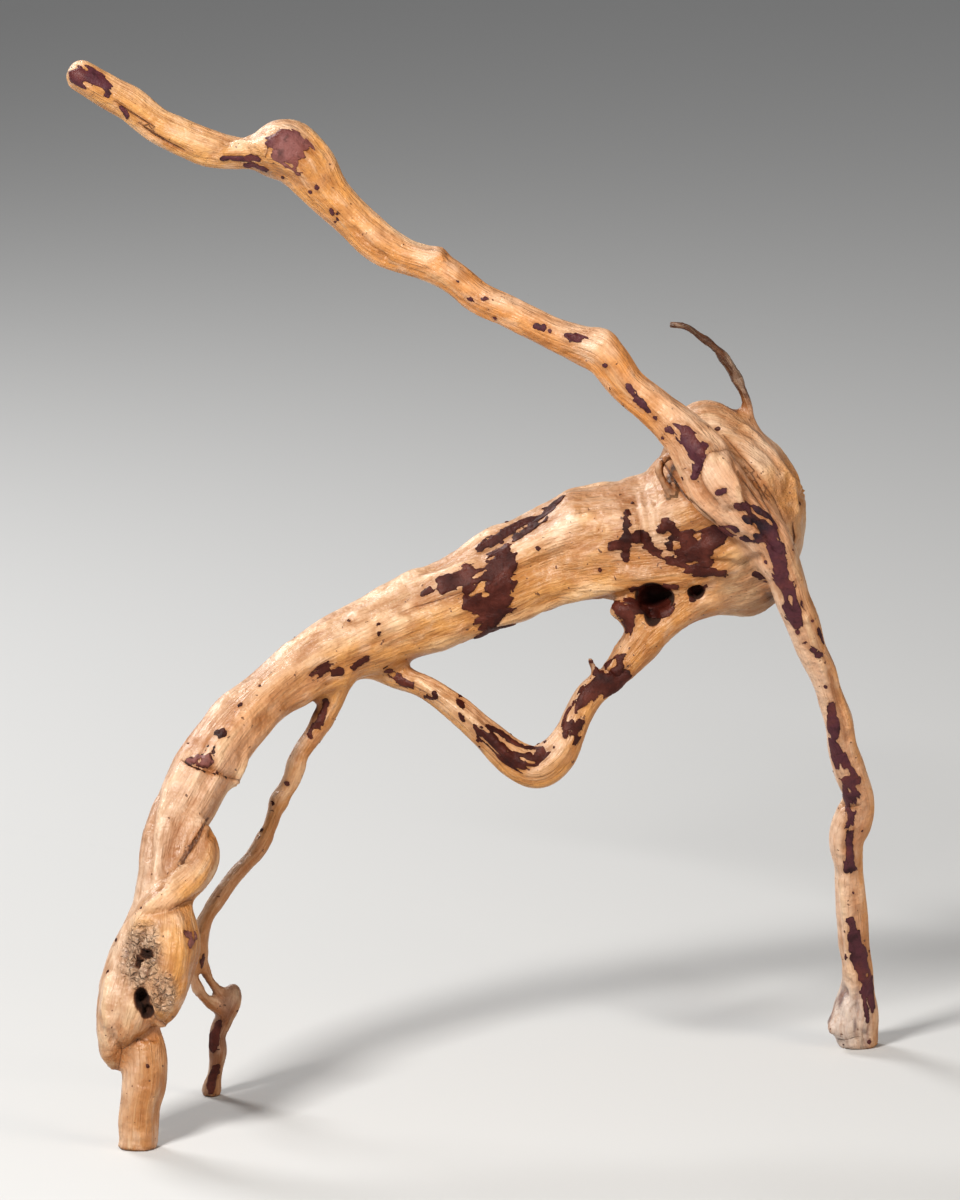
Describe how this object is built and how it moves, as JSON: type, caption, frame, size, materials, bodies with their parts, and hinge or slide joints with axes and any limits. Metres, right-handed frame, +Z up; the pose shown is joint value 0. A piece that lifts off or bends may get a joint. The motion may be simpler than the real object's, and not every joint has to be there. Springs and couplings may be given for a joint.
{
  "type": "spiderwood root",
  "caption": "Gnarled spiderwood root: an arched trunk, a long rising arm, a slim leg and a hooked loop, standing on its own ends.",
  "frame": {"origin": "bottom centre of the box round the standing root, on the floor", "axes": "+Z up, -Y the side where the arm and the leg cross in front of the crown, +X towards the leg"},
  "size_m": [0.3906, 0.2205, 0.4936],
  "materials": {
    "root_wood": "satin, peeled root wood in honey and cream with long grain",
    "root_bark": "thin maroon-brown bark left in ragged patches"
  },
  "bodies": {
    "root": {"spiderwood_root": "root_wood"}
  },
  "joints": []
}
